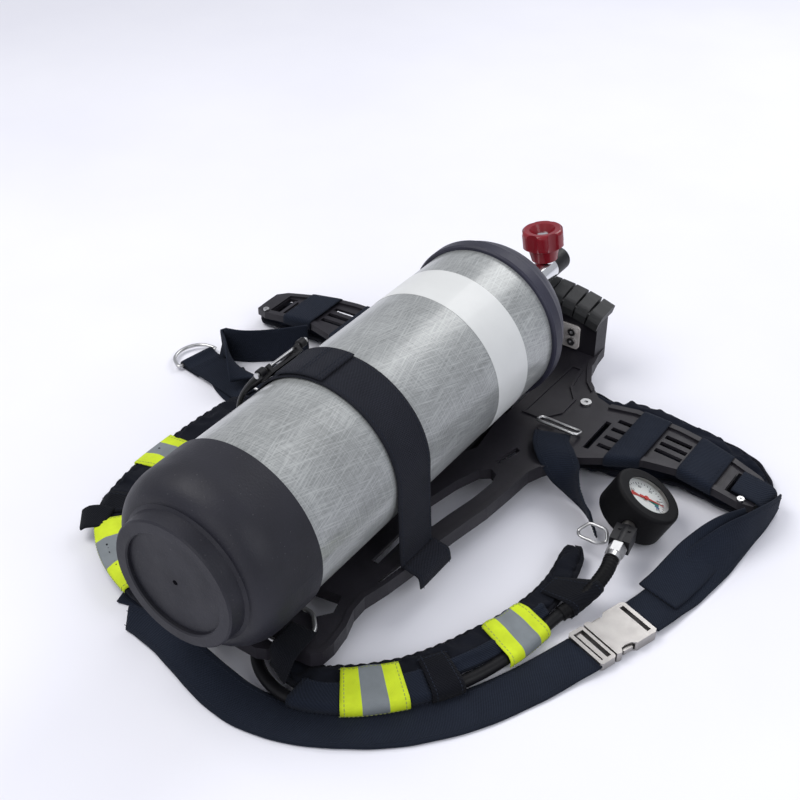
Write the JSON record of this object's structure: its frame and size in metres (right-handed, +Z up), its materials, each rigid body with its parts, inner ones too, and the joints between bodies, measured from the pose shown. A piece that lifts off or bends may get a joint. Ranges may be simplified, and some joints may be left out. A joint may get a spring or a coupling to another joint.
{
  "type": "air pack",
  "caption": "Worn air pack: composite cylinder with valve on a moulded backplate, with padded shoulder straps, waist belt with buckle, and a pressure gauge on a hose.",
  "frame": {"origin": "Centre of the pack's outline, on the surface that it lies on", "axes": "+Z up from that surface, +Y from the cylinder's boot to its valve, +X across the pack towards the gauge"},
  "size_m": [0.6483, 0.6133, 0.2033],
  "materials": {
    "clear_coat": "see scene",
    "liner": "see scene",
    "label": "see scene",
    "boot_rubber": "see scene",
    "guard_rubber": "see scene",
    "nickel": "see scene",
    "wheel_red": "see scene",
    "bumper_rubber": "see scene",
    "plate_plastic": "see scene",
    "webbing": "see scene",
    "pad_fabric": "see scene",
    "bright_patch": "see scene",
    "steel": "see scene",
    "black_plastic": "see scene",
    "black_rubber": "see scene",
    "dial_face": "see scene",
    "needle_red": "see scene",
    "lens": "see scene"
  },
  "bodies": {
    "pack": {"cylinder_wrap": "clear_coat", "cylinder_liner": "liner", "cylinder_label": "label", "boot": "boot_rubber", "neck_guard": "guard_rubber", "valve_body": "nickel", "gland_nut": "steel", "valve_end_cap": "black_plastic", "outlet_seal": "black_rubber", "reducer_body": "black_plastic", "reducer_cap": "black_plastic", "supply_outlet": "steel", "reducer_bracket": "steel", "bracket_screws": "steel", "backplate": "plate_plastic", "bottom_bumper": "bumper_rubber", "wing_left": "plate_plastic", "wing_right": "plate_plastic", "wing_screws": "steel", "wing_bands": "webbing", "hip_pad_left": "pad_fabric", "hip_pad_right": "pad_fabric", "cylinder_band": "webbing", "band_frame": "black_plastic", "lever_pin": "steel", "shoulder_rings": "steel", "shoulder_loops": "webbing", "shoulder_pad_left": "pad_fabric", "shoulder_pad_right": "pad_fabric", "patches_left": "bright_patch", "patches_right": "bright_patch", "hose_keepers": "webbing", "strap_adjusters": "steel", "pull_strap_left": "webbing", "pull_strap_right": "webbing", "waist_rings": "steel", "tail_strap": "webbing", "waist_belt_left": "webbing", "waist_belt_right": "webbing", "buckle_shell": "steel", "buckle_insert": "steel", "belt_slide_bar": "steel", "gauge_hose": "black_rubber", "hose_sleeve": "black_rubber", "hose_ferrule": "steel", "swivel_block": "black_plastic"},
    "handwheel_group": {"handwheel": "wheel_red", "handwheel_nut": "steel", "valve_spindle": "steel"},
    "coupling": {"coupling_nut": "black_plastic"},
    "sleeve": {"outlet_sleeve": "steel"},
    "gauge": {"gauge_case": "steel", "gauge_cover": "black_rubber", "gauge_dial": "dial_face", "gauge_lens": "lens"},
    "needle": {"gauge_needle": "needle_red"},
    "lever": {"band_lever": "black_plastic"},
    "pull_ring": {"d_ring": "steel"},
    "prong_near_body": {"prong_near": "steel"},
    "prong_far_body": {"prong_far": "steel"}
  },
  "joints": [
    {"name": "handwheel_turn", "type": "hinge", "parent": "pack", "child": "handwheel_group", "pos_m": [0.011, 0.272, 0.118], "axis": [-0.1564, 0, 0.9877], "range_deg": [0, 900]},
    {"name": "coupling_turn", "type": "hinge", "parent": "pack", "child": "coupling", "pos_m": [0.011, 0.25, 0.118], "axis": [-0.1564, 0, 0.9877], "continuous": true},
    {"name": "sleeve_pull", "type": "slide", "parent": "pack", "child": "sleeve", "axis": [1, 0, 0], "range_m": [0, 0.004], "stiffness_N_per_m": 600, "springref_m": -0.003},
    {"name": "gauge_swivel", "type": "hinge", "parent": "pack", "child": "gauge", "pos_m": [0.225, 0.087, 0.032], "axis": [0.1599, -0.9871, 0], "range_deg": [-30, 35]},
    {"name": "needle_turn", "type": "hinge", "parent": "gauge", "child": "needle", "pos_m": [0.232, 0.088, 0.045], "axis": [0.4145, 0.2364, 0.8788], "range_deg": [0, 250]},
    {"name": "lever_lift", "type": "hinge", "parent": "pack", "child": "lever", "pos_m": [-0.05062, -0.086, 0.18422], "axis": [0, 1, 0], "range_deg": [0, 95]},
    {"name": "d_ring_swing", "type": "hinge", "parent": "pack", "child": "pull_ring", "pos_m": [-0.2975, 0.057, 0.0052], "axis": [0.1736, 0.9848, 0], "range_deg": [0, 110]},
    {"name": "prong_near_press", "type": "hinge", "parent": "pack", "child": "prong_near_body", "pos_m": [0.25503, -0.05956, 0.0056], "axis": [0, 0, -1], "range_deg": [0, 8], "stiffness_Nm_per_rad": 0.3, "springref_deg": -5.73},
    {"name": "prong_far_press", "type": "hinge", "parent": "pack", "child": "prong_far_body", "pos_m": [0.2806, -0.06822, 0.0056], "axis": [0, 0, 1], "range_deg": [0, 8], "stiffness_Nm_per_rad": 0.3, "springref_deg": -5.73}
  ]
}
